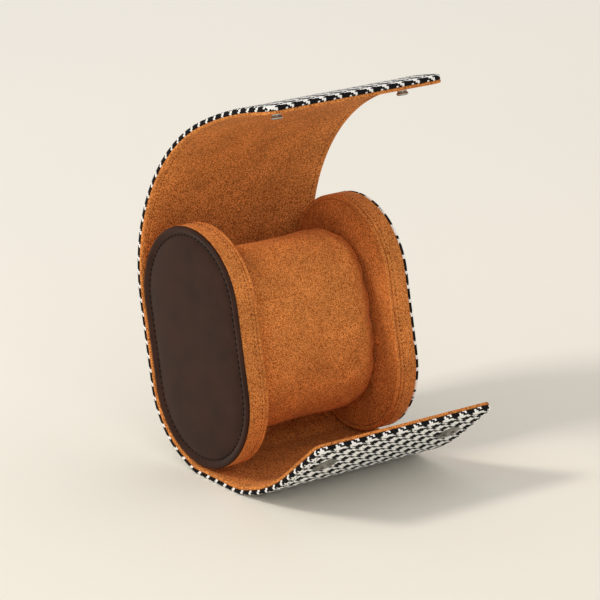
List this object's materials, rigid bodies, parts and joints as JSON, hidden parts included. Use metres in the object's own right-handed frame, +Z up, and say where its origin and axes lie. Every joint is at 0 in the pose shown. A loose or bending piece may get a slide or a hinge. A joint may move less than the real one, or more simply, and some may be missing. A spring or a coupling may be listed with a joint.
{
  "type": "watch roll",
  "caption": "Stiffened travel roll with two stadium end caps, a cushion between them and two curved flaps that fold shut round the front and meet at press snaps.",
  "frame": {"origin": "middle of the flat base panel on the underside, on the surface that the open roll stands on", "axes": "+X along the roll from the leather cap to the woven cap, -Y out of the open front, +Z up"},
  "size_m": [0.0766, 0.1086, 0.1439],
  "materials": {
    "houndstooth": "matte",
    "board": "matte",
    "suede": "matte",
    "leather": "satin",
    "foam": "matte",
    "nickel": "polished",
    "pewter": "satin"
  },
  "bodies": {
    "root": {"back_cover": "houndstooth", "back_board": "board", "back_lining": "suede", "left_cap_leather": "leather", "left_cap_core": "board", "left_cap_band": "suede", "left_cap_lining": "suede", "left_cap_piping": "suede", "right_cap_cover": "houndstooth", "right_cap_core": "board", "right_cap_band": "suede", "right_cap_lining": "suede", "right_cap_piping": "suede"},
    "top_1": {"top_cover_1": "houndstooth", "top_board_1": "board", "top_lining_1": "suede"},
    "top_2": {"top_cover_2": "houndstooth", "top_board_2": "board", "top_lining_2": "suede"},
    "top_3": {"top_cover_3": "houndstooth", "top_board_3": "board", "top_lining_3": "suede"},
    "top_4": {"top_cover_4": "houndstooth", "top_board_4": "board", "top_lining_4": "suede"},
    "top_5": {"top_cover_5": "houndstooth", "top_board_5": "board", "top_lining_5": "suede", "snap_studs": "nickel", "stud_rivets": "pewter"},
    "lower_1": {"lower_cover_1": "houndstooth", "lower_board_1": "board", "lower_lining_1": "suede"},
    "lower_2": {"lower_cover_2": "houndstooth", "lower_board_2": "board", "lower_lining_2": "suede"},
    "lower_3": {"lower_cover_3": "houndstooth", "lower_board_3": "board", "lower_lining_3": "suede"},
    "lower_4": {"lower_cover_4": "houndstooth", "lower_board_4": "board", "lower_lining_4": "suede", "snap_sockets": "pewter", "socket_rings": "pewter"},
    "cushion": {"cushion_cover": "suede", "cushion_left_end": "suede", "cushion_right_end": "suede", "cushion_core": "foam"}
  },
  "joints": [
    {"name": "top_fold_1", "type": "hinge", "parent": "root", "child": "top_1", "pos_m": [0, 0.04606, 0.06731], "axis": [1, 0, 0], "range_deg": [0, 20]},
    {"name": "top_fold_2", "type": "hinge", "parent": "top_1", "child": "top_2", "pos_m": [0, 0.04337, 0.08605], "axis": [1, 0, 0], "range_deg": [0, 19]},
    {"name": "top_fold_3", "type": "hinge", "parent": "top_2", "child": "top_3", "pos_m": [0, 0.03551, 0.10328], "axis": [1, 0, 0], "range_deg": [0, 20]},
    {"name": "top_fold_4", "type": "hinge", "parent": "top_3", "child": "top_4", "pos_m": [0, 0.02266, 0.11852], "axis": [1, 0, 0], "range_deg": [0, 20]},
    {"name": "top_fold_5", "type": "hinge", "parent": "top_4", "child": "top_5", "pos_m": [0, 0.00431, 0.13051], "axis": [1, 0, 0], "range_deg": [0, 13]},
    {"name": "lower_fold_1", "type": "hinge", "parent": "root", "child": "lower_1", "pos_m": [0, 0.01047, 0.0015], "axis": [-1, 0, 0], "range_deg": [0, 8]},
    {"name": "lower_fold_2", "type": "hinge", "parent": "lower_1", "child": "lower_2", "pos_m": [0, -0.00202, 0.0015], "axis": [-1, 0, 0], "range_deg": [0, 24]},
    {"name": "lower_fold_3", "type": "hinge", "parent": "lower_2", "child": "lower_3", "pos_m": [0, -0.01888, 0.00284], "axis": [-1, 0, 0], "range_deg": [0, 14]},
    {"name": "lower_fold_4", "type": "hinge", "parent": "lower_3", "child": "lower_4", "pos_m": [0, -0.03529, 0.01007], "axis": [-1, 0, 0], "range_deg": [0, 15.2]},
    {"name": "cushion_slide", "type": "slide", "parent": "root", "child": "cushion", "axis": [0, -0.9774, 0.2113], "range_m": [0, 0.005]}
  ],
  "couplings": [
    {"joint": "top_fold_2", "follows": "top_fold_1", "ratio": 0.95},
    {"joint": "top_fold_3", "follows": "top_fold_1", "ratio": 1},
    {"joint": "top_fold_4", "follows": "top_fold_1", "ratio": 1},
    {"joint": "top_fold_5", "follows": "top_fold_1", "ratio": 0.65},
    {"joint": "lower_fold_2", "follows": "lower_fold_1", "ratio": 3},
    {"joint": "lower_fold_3", "follows": "lower_fold_1", "ratio": 1.75},
    {"joint": "lower_fold_4", "follows": "lower_fold_1", "ratio": 1.9}
  ]
}
